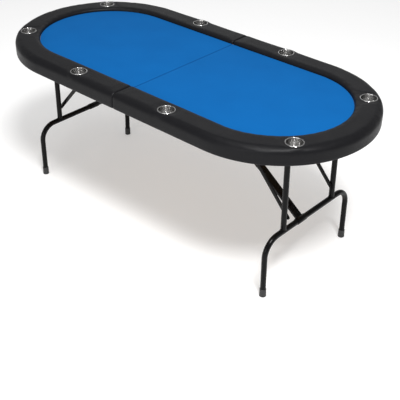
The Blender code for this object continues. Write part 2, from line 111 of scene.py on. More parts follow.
class Finish:
    """A material in the making. Its place on the object is self.at."""

    def __init__(self, name, metal=0.0, **fixed):
        self.material = bpy.data.materials.new(name)
        self.material.use_nodes = True
        self.shader = self.material.node_tree.nodes["Principled BSDF"]
        self.shader.inputs["Metallic"].default_value = metal
        for socket, value in fixed.items():
            self.shader.inputs[socket.replace("_", " ")].default_value = value
        self.at = self.node("TexCoord", out="Object")

    def node(self, kind, settings=None, sockets=None, out=0):
        made = self.material.node_tree.nodes.new("ShaderNode" + kind)
        for key, value in (settings or {}).items():
            setattr(made, key, value)
        for key, value in (sockets or {}).items():
            if isinstance(value, Flow):
                self.material.node_tree.links.new(value.socket, made.inputs[key])
            else:
                made.inputs[key].default_value = value
        return Flow(self, made.outputs[out])

    def feed(self, socket, value):
        if isinstance(value, Flow):
            self.material.node_tree.links.new(value.socket, self.shader.inputs[socket])
        else:
            self.shader.inputs[socket].default_value = value

    def noise(self, scale, detail=3.0, rough=0.5, at=None):
        return self.node("TexNoise", {}, {"Vector": at or self.at, "Scale": scale,
                                          "Detail": detail, "Roughness": rough}, "Fac")

    def cells(self, scale, feature="F1", at=None):
        return self.node("TexVoronoi", {"feature": feature},
                         {"Vector": at or self.at, "Scale": scale}, "Distance")

    def stretched(self, scale):
        return self.node("Mapping", {}, {"Vector": self.at, "Scale": scale})

    def axis(self, letter):
        return self.node("SeparateXYZ", {}, {"Vector": self.at}, letter)

    def attribute(self, name):
        return self.node("Attribute", {"attribute_name": name}, {}, "Fac")

    def span(self, value, low, high, to_low, to_high):
        return self.node("MapRange", {}, {"Value": value, "From Min": low, "From Max": high,
                                          "To Min": to_low, "To Max": to_high})

    def blend(self, share, a, b):
        return self.node("Mix", {"data_type": "RGBA"},
                         {"Factor": share, 6: a if isinstance(a, Flow) else (*a, 1),
                          7: b if isinstance(b, Flow) else (*b, 1)}, 2)

    def bumps(self, *layers):
        """Each layer is (height, strength, depth in metres); they add up."""
        under = None
        for height, strength, depth in layers:
            sockets = {"Height": height, "Strength": strength, "Distance": depth}
            if under:
                sockets["Normal"] = under
            under = self.node("Bump", {}, sockets)
        self.feed("Normal", under)


def felt_finish():
    """Close-woven speed cloth: fine twill, loose surface fibre, faint cloudiness, and painted
    shade along the seam.
    """
    f = Finish("blue_speed_cloth", Sheen_Weight=0.02, Sheen_Roughness=0.5,
               Specular_IOR_Level=0.08)
    f.shader.inputs["Sheen Tint"].default_value = (0.30, 0.62, 1.0, 1)
    x, y = f.axis("X"), f.axis("Y")
    twill = ((x + y) * 3900.0).sine() * 0.5 + ((x - y) * 5200.0).sine() * 0.25 + 0.5
    fibre = f.noise(2600, 2.0, 0.7)
    nap = f.noise(420, 4.0, 0.65)
    cloud = f.noise(7.0, 2.0, 0.5)
    tone = f.span(fibre * 0.35 + nap * 0.40 + cloud * 0.25, 0.30, 0.70, 0.0, 1.0)
    cloth = f.blend(tone, (0.0012, 0.082, 0.275), (0.0022, 0.108, 0.345))
    lint = f.noise(900, 1.0, 0.4).over(0.745) * 0.10
    # painted shade: within 5 mm of the seam the cloth darkens towards deep blue, standing for the
    # shade in the fold between the two halves
    seam = f.span(x.absolute(), 0.0012, 0.0050, 0.55, 0.0)
    f.feed("Base Color", f.blend(seam, f.blend(lint, cloth, (0.06, 0.24, 0.55)),
                                 (0.0010, 0.030, 0.125)))
    f.feed("Roughness", f.span(nap, 0.3, 0.7, 0.86, 0.98))
    f.bumps((twill, 0.25, 0.0002), (fibre * 0.6 + nap * 0.4, 0.35, 0.0003))
    return f.material


def vinyl_finish():
    """Charcoal upholstery vinyl: pebbled grain, finer pores, soft handling marks."""
    f = Finish("charcoal_vinyl", Specular_IOR_Level=0.13)
    pebble = f.cells(520, "DISTANCE_TO_EDGE", f.stretched((1.0, 1.0, 0.9)))
    crease = f.span(pebble, 0.0, 0.16, 0.0, 1.0)
    pores = f.noise(2400, 2.0, 0.6)
    drag = f.noise(38, 3.0, 0.55)
    worn = f.span(f.noise(9.0, 3.0, 0.6), 0.42, 0.72, 0.0, 1.0)
    shade = f.span(crease * 0.5 + pores * 0.3 + drag * 0.2, 0.2, 0.9, 0.0, 1.0)
    f.feed("Base Color", f.blend(shade, (0.0036, 0.0036, 0.0043), (0.0082, 0.0082, 0.0096)))
    f.feed("Roughness", 0.36 + drag * 0.08 + pores * 0.06 - worn * 0.05)
    f.bumps((drag, 0.25, 0.0006), (crease, 0.30, 0.00025), (pores, 0.20, 0.0001))
    return f.material


def steel_finish():
    """Spun stainless: fine rings from the spinning, faint fingering, bright rim."""
    f = Finish("spun_stainless", metal=1.0, Anisotropic=0.92, Anisotropic_Rotation=0.25)
    ring = f.attribute("ring")
    lathe = f.node("TexNoise", {"noise_dimensions": "1D"},
                   {"W": ring * 2600.0, "Scale": 1.0, "Detail": 3.0}, "Fac")
    smear = f.noise(55, 4.0, 0.6)
    f.feed("Base Color", f.blend(smear, (0.52, 0.515, 0.51), (0.74, 0.735, 0.73)))
    f.feed("Roughness", 0.14 + lathe * 0.08 + smear * 0.06)
    f.bumps((lathe, 0.08, 0.00005), (smear, 0.02, 0.0002))
    return f.material


def powder_finish():
    """Gloss black powder coat: orange peel, dust specks, a little duller in patches."""
    f = Finish("black_powder_coat", Coat_Roughness=0.10, Specular_IOR_Level=0.10)
    peel = f.noise(420, 2.0, 0.45)
    patch = f.noise(16, 3.0, 0.55)
    speck = f.noise(1500, 1.0, 0.3).over(0.74)
    f.feed("Base Color", f.blend(patch * 0.5 + speck * 0.5, (0.0010, 0.0010, 0.0011),
                                 (0.0038, 0.0038, 0.0041)))
    f.feed("Roughness", 0.20 + patch * 0.12 + speck * 0.15)
    f.feed("Coat Weight", 0.03 + patch * 0.09)
    f.bumps((peel, 0.16, 0.0003))
    return f.material


def plastic_finish():
    """Moulded black foot: fine spark-eroded texture, scuffed near the floor."""
    f = Finish("moulded_black_plastic", IOR=1.46)
    spark = f.noise(1900, 3.0, 0.6)
    low = f.span(f.axis("Z"), 0.0, 0.012, 1.0, 0.0)
    scuff = f.noise(160, 4.0, 0.7).over(0.56) * low
    f.feed("Base Color", f.blend(scuff * 0.5 + spark * 0.2, (0.011, 0.011, 0.012),
                                 (0.060, 0.059, 0.057)))
    f.feed("Roughness", 0.42 + spark * 0.12 + scuff * 0.20)
    f.bumps((spark, 0.30, 0.00012))
    return f.material


def zinc_finish(name="zinc_plate", dark=(0.34, 0.345, 0.35), light=(0.62, 0.62, 0.60)):
    """Zinc-plated sheet: soft spangle, rolling lines, small rub marks."""
    f = Finish(name, metal=1.0)
    spangle = f.node("TexVoronoi", {"feature": "F1"}, {"Vector": f.at, "Scale": 140.0}, "Color")
    grey = f.node("RGBToBW", {}, {0: spangle})
    lines = f.noise(60, 3.0, 0.6, f.stretched((3.0, 60.0, 3.0)))
    rub = f.noise(240, 3.0, 0.65)
    f.feed("Base Color", f.blend(grey * 0.45 + lines * 0.30 + rub * 0.25, dark, light))
    f.feed("Roughness", 0.26 + lines * 0.14 + rub * 0.12)
    f.bumps((lines, 0.10, 0.0001), (rub, 0.15, 0.0001))
    return f.material


def board_finish():
    """Raw fibreboard: pressed fibres, darker resin flecks, lighter sanded face."""
    f = Finish("raw_fibreboard", IOR=1.45)
    fibre = f.noise(700, 4.0, 0.7, f.stretched((1.0, 1.0, 2.5)))
    fleck = f.cells(260).over(0.62)
    cloud = f.noise(14, 3.0, 0.55)
    f.feed("Base Color", f.blend(fibre * 0.6 + cloud * 0.4,
                                 f.blend(fleck, (0.285, 0.180, 0.098), (0.170, 0.102, 0.055)),
                                 (0.430, 0.300, 0.180)))
    f.feed("Roughness", 0.70 + fibre * 0.18)
    f.bumps((fibre, 0.35, 0.0003))
    return f.material


def floor_finish():
    """Pale, evenly lit ground."""
    f = Finish("pale_floor", Specular_IOR_Level=0.1, Emission_Strength=0.30)
    f.shader.inputs["Emission Color"].default_value = (1, 1, 1, 1)
    cloud = f.noise(1.2, 2.0, 0.5)
    f.feed("Base Color", f.blend(cloud, (0.74, 0.74, 0.74), (0.75, 0.75, 0.75)))
    f.feed("Roughness", 0.75 + cloud * 0.1)
    return f.material


FELT, VINYL, STEEL, BLACK = felt_finish(), vinyl_finish(), steel_finish(), powder_finish()
PLASTIC, ZINC, WOOD = plastic_finish(), zinc_finish(), board_finish()
BOLT_STEEL = zinc_finish("bright_plated_steel", (0.46, 0.46, 0.47), (0.74, 0.74, 0.73))
FINISH_OF = {"felt": FELT, "vinyl": VINYL, "cup_steel": STEEL, "wood": WOOD,
             "foot_plastic": PLASTIC, "black_tube": BLACK, "bolt_steel": BOLT_STEEL,
             "zinc": ZINC}

# ---------------------------------------------------------------- sizes from the frame
LOW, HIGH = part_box("right_rail_pad")
SEAM, HALF_WIDTH, HALF_LENGTH = LOW[0], HIGH[1], HIGH[0]
RAIL_TOP, SKIRT_BOTTOM = HIGH[2], LOW[2]
ARC_X = HALF_LENGTH - HALF_WIDTH
FELT_LOW, FELT_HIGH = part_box("right_felt")
RAIL_WIDTH = HALF_WIDTH - FELT_HIGH[1] - 0.0003
BED = FELT_LOW[2]                 # the level that rail and felt lie on
CUPS = []                         # centre of each cup of the right half
for node in ("right_near_side_cup", "right_far_side_cup", "right_near_end_cup",
             "right_far_end_cup"):
    low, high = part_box(node)
    CUPS.append((node[6:], (low[0] + high[0]) / 2, (low[1] + high[1]) / 2))
HALF_TURN = Matrix.Rotation(pi, 4, "Z")
SIDES = (("right", Matrix.Identity(4)), ("left", HALF_TURN))
OTHER = {"near": "far", "far": "near"}


def placed(name, side):
    """The name that a piece of the right half has on the given half."""
    words = name.split("_")
    if side == "left":
        words = [OTHER.get(word, word) for word in words]
    return "_".join([side] + words)


# ---------------------------------------------------------------- shape tools
def chain(bm, points, closed=False):
    dots = [bm.verts.new(p) for p in points]
    pairs = list(zip(dots, dots[1:] + dots[:1] * closed))
    return dots, [bm.edges.new(pair) for pair in pairs]


def ends_of(edges):
    """The vertices of some edges, each once and in a fixed order."""
    return list(dict.fromkeys(v for e in edges for v in e.verts))


def turned(profile, steps=48):
    """A shape of revolution about the Z axis from (radius, height) points."""
    bm = bmesh.new()
    dots, lines = chain(bm, [(r, 0, z) for r, z in profile])
    bmesh.ops.spin(bm, geom=dots + lines, cent=(0, 0, 0), axis=(0, 0, 1), angle=2 * pi,
                   steps=steps, use_merge=True)
    bmesh.ops.remove_doubles(bm, verts=bm.verts, dist=1e-6)
    bmesh.ops.recalc_face_normals(bm, faces=bm.faces)
    return bm


def tube(start, heading, steps_taken, radius, sides=28):
    """A round tube in the local XZ plane: ("go", length) or ("turn", radius, angle)."""
    bm = bmesh.new()
    place, heading = Vector(start), Vector(heading).normalized()
    spin_axis = Vector((0, 1, 0))
    stand = Matrix.Translation(place) @ heading.to_track_quat("Z", "Y").to_matrix().to_4x4()
    bmesh.ops.create_circle(bm, cap_ends=False, radius=radius, segments=sides, matrix=stand)
    edges = list(bm.edges)
    for step in steps_taken:
        if step[0] == "go":
            far = bmesh.ops.extrude_edge_only(bm, edges=edges)["geom"]
            dots = [g for g in far if isinstance(g, bmesh.types.BMVert)]
            bmesh.ops.translate(bm, verts=dots, vec=heading * step[1])
            place = place + heading * step[1]
            edges = [g for g in far if isinstance(g, bmesh.types.BMEdge)
                     and all(v in dots for v in g.verts)]
        else:
            bend, angle = step[1], step[2]
            side = spin_axis.cross(heading) * (-1 if angle < 0 else 1)
            middle = place + side * bend
            ring = ends_of(edges) + edges
            last = bmesh.ops.spin(bm, geom=ring, cent=middle, axis=spin_axis, angle=angle,
                                  steps=max(6, int(abs(angle) / radians(6))))["geom_last"]
            edges = [g for g in last if isinstance(g, bmesh.types.BMEdge)]
            swing = Matrix.Rotation(angle, 3, spin_axis)
            place = middle + swing @ (place - middle)
            heading = swing @ heading
    bmesh.ops.holes_fill(bm, edges=[e for e in bm.edges if e.is_boundary], sides=0)
    bmesh.ops.recalc_face_normals(bm, faces=bm.faces)
    return bm


def shift(bm, matrix):
    bmesh.ops.transform(bm, matrix=matrix, verts=bm.verts)
    return bm


def joined(*parts):
    """Several separate closed shapes in one mesh."""
    whole = bmesh.new()
    for part in parts:
        spare = bpy.data.meshes.new("part")
        part.to_mesh(spare)
        part.free()
        whole.from_mesh(spare)
        bpy.data.meshes.remove(spare)
    return whole


def piece(bm, name, finish, body, matrix=Matrix.Identity(4), sharp=38, stands_for=()):
    """Makes a shape a piece of the object, on its body and in place of its nodes."""
    mesh = bpy.data.meshes.new(name)
    bm.to_mesh(mesh)
    mesh.transform(matrix)
    mesh.shade_smooth()
    if sharp:
        mesh.set_sharp_from_angle(angle=radians(sharp))
    made = bpy.data.objects.new(name, mesh)
    bpy.context.scene.collection.objects.link(made)
    mesh.materials.append(finish)
    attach(made, body)
    if stands_for:
        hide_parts(*stands_for)
    return made


def on_both(bm, name, finish, body, sharp=38, replaces=(), suffix=""):
    """The same shape on the right half and, turned, on the left half."""
    made = []
    for side, turn in SIDES:
        made.append(piece(bm, placed(name, side) + suffix, finish, f"{side}_{body}", turn,
                          sharp, [placed(node, side) for node in replaces]))
    bm.free()
    return made


BREAK = 0.0005                    # width of a broken edge on sheet and bar


def eased(node, finish, body):
    """A CAD part with its sharp edges broken, in place of the part itself."""
    bm = bmesh.new()
    bm.from_mesh(frame["nodes"][node].data)
    bmesh.ops.remove_doubles(bm, verts=bm.verts, dist=1e-5)
    bmesh.ops.dissolve_limit(bm, angle_limit=radians(1), verts=bm.verts, edges=bm.edges)
    corners = [e for e in bm.edges if e.is_manifold and e.calc_face_angle(0) > radians(40)]
    bmesh.ops.bevel(bm, geom=corners, offset=BREAK, segments=2, profile=0.5,
                    affect="EDGES", clamp_overlap=True, material=-1)
    bmesh.ops.recalc_face_normals(bm, faces=bm.faces)
    piece(bm, f"{node}_eased", finish, body, sharp=50, stands_for=(node,))
    bm.free()


def smoothstep(low, high, x):
    t = min(1.0, max(0.0, (x - low) / (high - low)))
    return t * t * (3 - 2 * t)


# ---------------------------------------------------------------- padded rails
SKIRT, SHOULDER_OUT, SHOULDER_IN = 0.008, 0.022, 0.012
SINK = 0.0016                     # the foam starts this far under its covered height
LOFT = 0.0026                     # and rises no more than this under pressure
WRAP = 0.0090                     # radius of the cover where it wraps a half's end
PITCH_X = 0.0095                  # length of the cover's cells along the straights
WELL = 0.0350                     # radius of the hole that takes a cup
DISH_INNER, DISH_OUTER = 0.0385, 0.056   # radii of the dish pressed in round a cup
CLOTH_FRAMES, PRESSURE = 20, 4.0


def rail_section(top):
    """Section of the pad, inwards from the outer edge, starting under the skirt."""
    corner = [(SHOULDER_OUT * (1 - cos(pi / 2 * k / 5)),
               top - SHOULDER_OUT + SHOULDER_OUT * sin(pi / 2 * k / 5)) for k in range(6)]
    inner = [(RAIL_WIDTH - SHOULDER_IN + SHOULDER_IN * sin(pi / 2 * k / 4),
              top - SHOULDER_IN + SHOULDER_IN * cos(pi / 2 * k / 4)) for k in range(5)]
    span = RAIL_WIDTH - SHOULDER_IN - SHOULDER_OUT
    rise = top - SHOULDER_OUT - SKIRT_BOTTOM
    outside = [(0.0, SKIRT_BOTTOM + rise * k / 5) for k in range(5)]
    crown = [(SHOULDER_OUT + span * k / 10, top) for k in range(1, 10)]
    tuck = [(RAIL_WIDTH, BED + 0.0025), (RAIL_WIDTH, BED)]
    under = [(RAIL_WIDTH - (RAIL_WIDTH - SKIRT) * k / 13, BED) for k in range(1, 14)]
    lining = [(SKIRT, BED - (BED - SKIRT_BOTTOM) * k / 5) for k in range(1, 6)]
    hem = [(SKIRT / 2, SKIRT_BOTTOM)]
    return outside + corner + crown + inner + tuck + under + lining + hem


def inset(section, by):
    """The section drawn in by a distance where it shows, and less inside the skirt."""
    result = []
    for before, here, after in zip(section[-1:] + section[:-1], section,
                                   section[1:] + section[:1]):
        along = (Vector(after) - Vector(before)).normalized()
        hidden = SKIRT / 4 < here[0] < RAIL_WIDTH - 0.001 and here[1] <= BED + 0.001
        inner = smoothstep(RAIL_WIDTH - 0.014, RAIL_WIDTH - 0.002, here[0])
        outer = 1 - smoothstep(0.0, 0.018, here[0])
        reach = by * (0.10 if hidden else 1.0 - 0.32 * outer + 0.35 * inner)
        result.append((here[0] + along.y * reach, here[1] - along.x * reach))
    return result


def rail_cage():
    """The pad as a grid of cells: rounded end, straight, turned end, straight, end."""
    bm = bmesh.new()
    section = rail_section(RAIL_TOP - SINK)
    loops = []
    for tilt in (0.0, 0.25, 0.5, 0.75, 1.0):
        angle = pi / 2 * tilt
        loops.append((SEAM + WRAP * (1 - cos(angle)), inset(section, WRAP * (1 - sin(angle)))))

    def ring(x, outline, way):
        return chain(bm, [(x, way * (u - HALF_WIDTH), z) for u, z in outline], True)

    rings = [ring(x, outline, 1) for x, outline in loops]
    for one, two in zip(rings, rings[1:]):
        bmesh.ops.bridge_loops(bm, edges=one[1] + two[1])
    dots, edges = rings[-1]
    straight = ARC_X - loops[-1][0]
    cells = round(straight / PITCH_X)

    def run(edges, way):
        for _ in range(cells):
            far = bmesh.ops.extrude_edge_only(bm, edges=edges)["geom"]
            dots = [g for g in far if isinstance(g, bmesh.types.BMVert)]
            bmesh.ops.translate(bm, verts=dots, vec=(way * straight / cells, 0, 0))
            edges = [g for g in far if isinstance(g, bmesh.types.BMEdge)
                     and all(v in dots for v in g.verts)]
        return edges

    edges = run(edges, 1)
    last = bmesh.ops.spin(bm, geom=ends_of(edges) + edges, cent=(ARC_X, 0, 0), axis=(0, 0, 1),
                          angle=pi, steps=150)["geom_last"]
    edges = run([g for g in last if isinstance(g, bmesh.types.BMEdge)], -1)
    end = [ring(x, outline, -1) for x, outline in loops[:-1]]
    for one, two in zip([edges] + [e for _, e in reversed(end)], [e for _, e in reversed(end)]):
        bmesh.ops.bridge_loops(bm, edges=one + two)
    bmesh.ops.recalc_face_normals(bm, faces=bm.faces)
    return bm


def settled(bm):
    """The same shape with its faces in a fixed order, so that the cloth always moves alike."""
    bm.verts.index_update()
    corners = []
    for face in bm.faces:
        numbers = [v.index for v in face.verts]
        first = numbers.index(min(numbers))
        corners.append(numbers[first:] + numbers[:first])
    fresh = bmesh.new()
    dots = [fresh.verts.new(v.co) for v in bm.verts]
    for numbers in sorted(corners):
        fresh.faces.new([dots[i] for i in numbers])
    bm.free()
    return fresh


def cup_distance(x, y):
    return min(hypot(x - cx, y - cy) for _, cx, cy in CUPS)


def swell(mesh):
    """Foam pushing up under the cover: cloth under pressure, held at its fixings."""
    pad = bpy.data.objects.new("pad_under_pressure", mesh)
    bpy.context.scene.collection.objects.link(pad)
    held = pad.vertex_groups.new(name="held")
    start = [v.co.copy() for v in mesh.vertices]
    for v in mesh.vertices:
        u = HALF_WIDTH - (abs(v.co.y) if v.co.x < ARC_X else hypot(v.co.x - ARC_X, v.co.y))
        grip = 1.0 - smoothstep(RAIL_TOP - 0.034, RAIL_TOP - 0.012, v.co.z)
        grip = max(grip, 1.0 - smoothstep(0.009, 0.026, v.co.x - SEAM),
                   1.0 - smoothstep(0.036, 0.044, cup_distance(v.co.x, v.co.y)),
                   1.0 if v.co.z < BED + 0.004 and u > SKIRT / 2 else 0.0)
        held.add([v.index], grip, "REPLACE")
    cloth = pad.modifiers.new("cover", "CLOTH")
    cover = cloth.settings
    cover.quality, cover.mass = 6, 0.35
    cover.tension_stiffness = cover.compression_stiffness = 24
    cover.shear_stiffness, cover.bending_stiffness = 8, 0.4
    cover.vertex_group_mass, cover.pin_stiffness = "held", 1.0
    cover.use_pressure, cover.uniform_pressure_force = True, PRESSURE
    cover.effector_weights.gravity = 0.0
    cloth.collision_settings.use_collision = False
    scene = bpy.context.scene
    for number in range(1, CLOTH_FRAMES + 1):
        scene.frame_set(number)
    graph = bpy.context.evaluated_depsgraph_get()
    shape = pad.evaluated_get(graph).data
    moved = [v.co.copy() for v in shape.vertices]
    scene.frame_set(1)
    pad.modifiers.clear()
    for v, a, b in zip(mesh.vertices, start, moved):
        step = b - a
        v.co = a + (step * (LOFT / step.length) if step.length > LOFT else step)
    pad.vertex_groups.clear()
    bpy.data.objects.remove(pad, do_unlink=True)


def soften(bm):
    """Small tucks in the cover and the dish that each cup flange presses into it."""
    for v in bm.verts:
        x, y, z = v.co
        if z < RAIL_TOP - 0.030:
            continue
        radius = hypot(x - ARC_X, y) if x > ARC_X else abs(y)
        u = HALF_WIDTH - radius
        ease = smoothstep(0.0, 0.03, x - SEAM)
        pull = noise.noise(Vector((x * 9, y * 9, 1.7))) * 0.00045 * ease
        if x > ARC_X:
            angle = pi / 2 if abs(x - ARC_X) < 1e-6 else atan(y / (x - ARC_X))
            tuck = sin(angle * 46 + 2.2 * noise.noise(Vector((angle * 3, 0, 4))))
            pull += 0.00035 * tuck * smoothstep(RAIL_WIDTH - 0.030, RAIL_WIDTH - 0.008, u)
        v.co.z += pull if u > 0.004 else 0.0
        near = cup_distance(x, y)
        if near < DISH_OUTER:
            level = RAIL_TOP - 0.0006
            v.co.z = level + (v.co.z - level) * smoothstep(DISH_INNER, DISH_OUTER, near)


def open_wells(bm):
    """A round well through the pad for each cup, walled from top to underside."""
    for _, cx, cy in CUPS:
        gone = [f for f in bm.faces if abs(f.normal.z) > 0.7
                and hypot(f.calc_center_median().x - cx, f.calc_center_median().y - cy) < WELL]
        bmesh.ops.delete(bm, geom=gone, context="FACES")
        rims = [e for e in bm.edges if e.is_boundary and all(
            hypot(v.co.x - cx, v.co.y - cy) < WELL + 0.02 for v in e.verts)]
        for v in ends_of(rims):
            away = Vector((v.co.x - cx, v.co.y - cy))
            away *= WELL / away.length
            v.co.x, v.co.y = cx + away.x, cy + away.y
        bmesh.ops.bridge_loops(bm, edges=rims)


def make_rails():
    cage = settled(rail_cage())
    mesh = bpy.data.meshes.new("rail")
    cage.to_mesh(mesh)
    cage.free()
    swell(mesh)
    rough = bpy.data.objects.new("rail_shape", mesh)
    bpy.context.scene.collection.objects.link(rough)
    fine = rough.modifiers.new("fine", "SUBSURF")
    fine.levels = fine.render_levels = 1
    graph = bpy.context.evaluated_depsgraph_get()
    smooth = bpy.data.meshes.new_from_object(rough.evaluated_get(graph))
    bpy.data.objects.remove(rough, do_unlink=True)
    bm = bmesh.new()
    bm.from_mesh(smooth)
    soften(bm)
    ends = [e for e in bm.edges if e.is_boundary]
    caps = bmesh.ops.holes_fill(bm, edges=ends, sides=0)["faces"]
    bmesh.ops.triangulate(bm, faces=caps)
    bm.normal_update()
    bmesh.ops.recalc_face_normals(bm, faces=bm.faces)
    open_wells(bm)
    bmesh.ops.recalc_face_normals(bm, faces=bm.faces)
    for made in on_both(bm, "rail_pad", VINYL, "top", 60, ("rail_pad",), "_cover"):
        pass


# ---------------------------------------------------------------- felt
def make_felts():
    """Cloth over thin foam, turned down over the board at the seam."""
    bm = bmesh.new()
    inner = HALF_WIDTH - RAIL_WIDTH - 0.0003
    dots, edges = chain(bm, [(ARC_X, -inner, FELT_HIGH[2])])
    last = bmesh.ops.spin(bm, geom=dots, cent=(ARC_X, 0, 0), axis=(0, 0, 1), angle=pi,
                          steps=120)["geom_last"]
    tail = [g for g in last if isinstance(g, bmesh.types.BMVert)][0]
    corners = [bm.verts.new((SEAM, y, FELT_HIGH[2])) for y in (inner, -inner)]
    bm.edges.new((tail, corners[0]))
    bm.edges.new(corners)
    bm.edges.new((corners[1], dots[0]))
    top = bmesh.ops.edgeloop_fill(bm, edges=bm.edges)["faces"]
    area = sum(f.calc_area() for f in top)
    skirt = bmesh.ops.extrude_face_region(bm, geom=top)["geom"]
    bmesh.ops.translate(bm, verts=[g for g in skirt if isinstance(g, bmesh.types.BMVert)],
                        vec=(0, 0, BED - FELT_HIGH[2]))
    fold = [e for e in bm.edges if all(v.co.z > FELT_HIGH[2] - 1e-5 for v in e.verts)
            and len(e.link_faces) == 2 and e.calc_face_angle(0) > 1.0]
    bmesh.ops.bevel(bm, geom=fold, offset=0.0029, segments=6, profile=0.5, affect="EDGES",
                    material=-1)
    for v in bm.verts:            # the roll at the seam is wider than it is deep
        if v.co.x < SEAM + 0.0032 and abs(v.co.y) < inner - 0.004:
            v.co.x = SEAM + (v.co.x - SEAM) * 1.7
    bmesh.ops.recalc_face_normals(bm, faces=bm.faces)
    for side, made in zip(("right", "left"),
                          on_both(bm, "felt", FELT, "top", 30, ("felt",), "_cloth")):
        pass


# ---------------------------------------------------------------- cups
CUP_BORE, CUP_DEPTH = 0.0335, 0.058


def make_cups():
    """Spun drop-in cups: rolled flange, drawn wall, ringed floor."""
    bore, rim, floor = CUP_BORE, RAIL_TOP, RAIL_TOP - CUP_DEPTH
    inside = [(0, floor + 0.0006), (0.0090, floor + 0.0006), (0.0102, floor),
              (0.0215, floor), (0.0227, floor + 0.0008), (0.0280, floor + 0.0008)]
    inside += [(bore - 0.0045 + 0.0045 * sin(a), floor + 0.0050 - 0.0042 * cos(a))
               for a in [pi / 2 * k / 6 for k in range(1, 7)]]
    inside += [(bore + 0.0001, rim - 0.0200), (bore + 0.0001, rim - 0.0030)]
    inside += [(bore + 0.0013 - 0.0011 * cos(a), rim - 0.0008 + 0.0017 * sin(a))
               for a in [pi / 2 * k / 5 for k in range(6)]]
    flange = [(bore + 0.0013 + 0.0026 * sin(a), rim - 0.0009 + 0.0018 * cos(a))
              for a in [pi / 2 * k / 8 for k in range(1, 9)]]
    outside = [(bore + 0.0037, rim - 0.0013), (bore + 0.0030, rim - 0.0014),
               (bore + 0.0009, rim - 0.0013), (bore + 0.0008, floor + 0.0040),
               (bore - 0.0008, floor + 0.0010), (bore - 0.0040, floor - 0.0008),
               (0, floor - 0.0008)]
    bm = turned(inside + flange + outside, 96)
    for name, x, y in CUPS:
        for side, turn in SIDES:
            node = placed(name, side)
            made = piece(bm, node + "_spun", STEEL, f"{side}_top",
                         turn @ Matrix.Translation((x, y, 0)), 50, (node,))
            middle = turn @ Vector((x, y, 0))
            ring = made.data.attributes.new("ring", "FLOAT", "POINT")
            for v, value in zip(made.data.vertices, ring.data):
                value.value = hypot(v.co.x - middle.x, v.co.y - middle.y) + (rim - v.co.z)
    bm.free()


# ---------------------------------------------------------------- leg frames
TUBE = 0.0125
PIVOT_X, PIVOT_Z, FOOT_X = 0.7195, 0.700, 0.730
LEAN = atan((FOOT_X - PIVOT_X) / PIVOT_Z)
DOWN = Vector((sin(LEAN), 0, -cos(LEAN)))
UPPER_Y, LOWER_Y, UPPER_BEND, LOWER_BEND = 0.175, 0.2955, 0.045, 0.078
BAR_Z = 0.273                     # height of the crossbar's axis
FOOT_D, BAR_D = PIVOT_Z / cos(LEAN), (PIVOT_Z - BAR_Z) / cos(LEAN)
UPPER_EMBED, CAP_SOLE = 0.004, 0.0045    # upper tube above the bar axis; cap under a tube
LEG = Matrix.Translation((PIVOT_X, 0, PIVOT_Z)) @ Matrix(
    ((0, cos(LEAN), DOWN.x, 0), (1, 0, 0, 0), (0, sin(LEAN), DOWN.z, 0), (0, 0, 0, 1)))


def weld_bead(y):
    """A fillet of weld round the end of an upper tube, where it sits on the crossbar."""
    bm = bmesh.new()
    bmesh.ops.create_circle(bm, cap_ends=False, radius=0.0021, segments=8,
                            matrix=Matrix.Translation((TUBE + 0.0004, 0, 0))
                            @ Matrix.Rotation(pi / 2, 4, "X"))
    bmesh.ops.spin(bm, geom=list(bm.verts) + list(bm.edges), cent=(0, 0, 0), axis=(0, 0, 1),
                   angle=2 * pi, steps=60, use_merge=True)
    bmesh.ops.remove_doubles(bm, verts=bm.verts, dist=1e-6)
    for v in bm.verts:
        reach = min(1.0, abs(v.co.y) / hypot(v.co.x, v.co.y))
        ripple = 1 + 0.10 * noise.noise(Vector((v.co.x * 900, v.co.y * 900, y * 50)))
        v.co.x, v.co.y = v.co.x * ripple, v.co.y * ripple
        v.co.z += BAR_D - TUBE * sqrt(1 - reach * reach) - 0.0004
    bmesh.ops.recalc_face_normals(bm, faces=bm.faces)
    return shift(bm, Matrix.Translation((y, 0, 0)))


